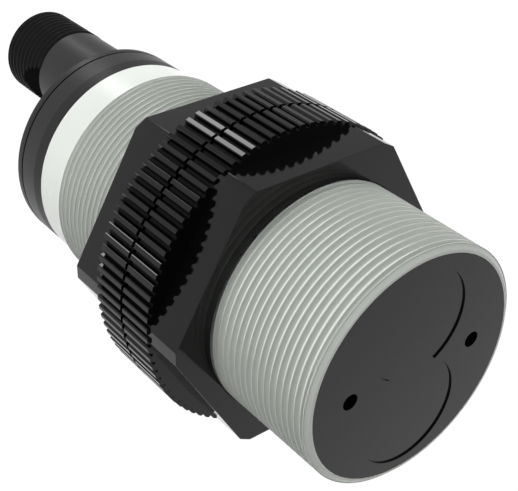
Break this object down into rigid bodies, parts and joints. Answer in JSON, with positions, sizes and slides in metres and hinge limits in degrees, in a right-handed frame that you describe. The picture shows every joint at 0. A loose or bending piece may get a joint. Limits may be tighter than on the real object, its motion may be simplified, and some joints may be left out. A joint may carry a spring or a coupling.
{
  "type": "optical sensor",
  "caption": "Diffuse optical sensor in a threaded round barrel with two ribbed fixing nuts, a pale indicator ring and an off-centre round plug.",
  "frame": {"origin": "centre of the sensing face, on the barrel's axis at the front end of its thread", "axes": "+X along the barrel's axis, out of the sensing face; +Z from the barrel's axis towards the plug, along the line of the two lenses; +Y to the right as one looks at the face"},
  "size_m": [0.0796, 0.04, 0.04],
  "materials": {
    "barrel_plastic": "light grey moulded plastic, satin",
    "cover_plastic": "dark tinted plastic, smooth",
    "ring_plastic": "white translucent plastic",
    "cap_plastic": "dark grey moulded plastic, satin",
    "nut_plastic": "black moulded plastic, satin",
    "black_plastic": "black moulded plastic",
    "carrier_plastic": "dark grey moulded plastic",
    "lens_clear": "clear moulded lens plastic",
    "board_laminate": "green circuit board laminate",
    "chip_plastic": "black component plastic",
    "capacitor_can": "drawn aluminium can",
    "led_red": "clear red light source body",
    "led_white": "pale light source body",
    "contact_gold": "gold-plated contact",
    "seal_rubber": "black sealing rubber",
    "pot_plastic": "blue component plastic",
    "adjuster_brass": "plain brass"
  },
  "bodies": {
    "sensor": {"housing_tube": "barrel_plastic", "front_cover": "cover_plastic", "front_seal": "seal_rubber", "emitter_lens": "lens_clear", "receiver_lens": "lens_clear", "optics_holder": "black_plastic", "optics_board": "board_laminate", "emitter_led": "led_red", "receiver_diode": "chip_plastic", "main_board": "board_laminate", "board_carrier": "carrier_plastic", "signal_chip": "chip_plastic", "output_transistors": "chip_plastic", "capacitors": "capacitor_can", "indicator_leds": "led_white", "indicator_ring": "ring_plastic", "rear_seal": "seal_rubber", "rear_board": "board_laminate", "end_cap": "cap_plastic", "contact_carrier": "black_plastic", "contact_pin_1": "contact_gold", "contact_pin_2": "contact_gold", "contact_pin_3": "contact_gold", "contact_pin_4": "contact_gold", "potentiometer": "pot_plastic"},
    "adjuster": {"adjuster_screw": "adjuster_brass", "adjuster_seal": "seal_rubber"},
    "front_fixing": {"front_nut": "nut_plastic"},
    "rear_fixing": {"rear_nut": "nut_plastic"}
  },
  "joints": [
    {"name": "front_nut_travel", "type": "slide", "parent": "sensor", "child": "front_fixing", "axis": [1, 0, 0], "range_m": [0, 0.0155]},
    {"name": "rear_nut_travel", "type": "slide", "parent": "sensor", "child": "rear_fixing", "axis": [-1, 0, 0], "range_m": [0, 0.0125]},
    {"name": "adjuster_turn", "type": "hinge", "parent": "sensor", "child": "adjuster", "pos_m": [-0.0621, 0, -0.0075], "axis": [-1, 0, 0], "range_deg": [-135, 135]}
  ]
}
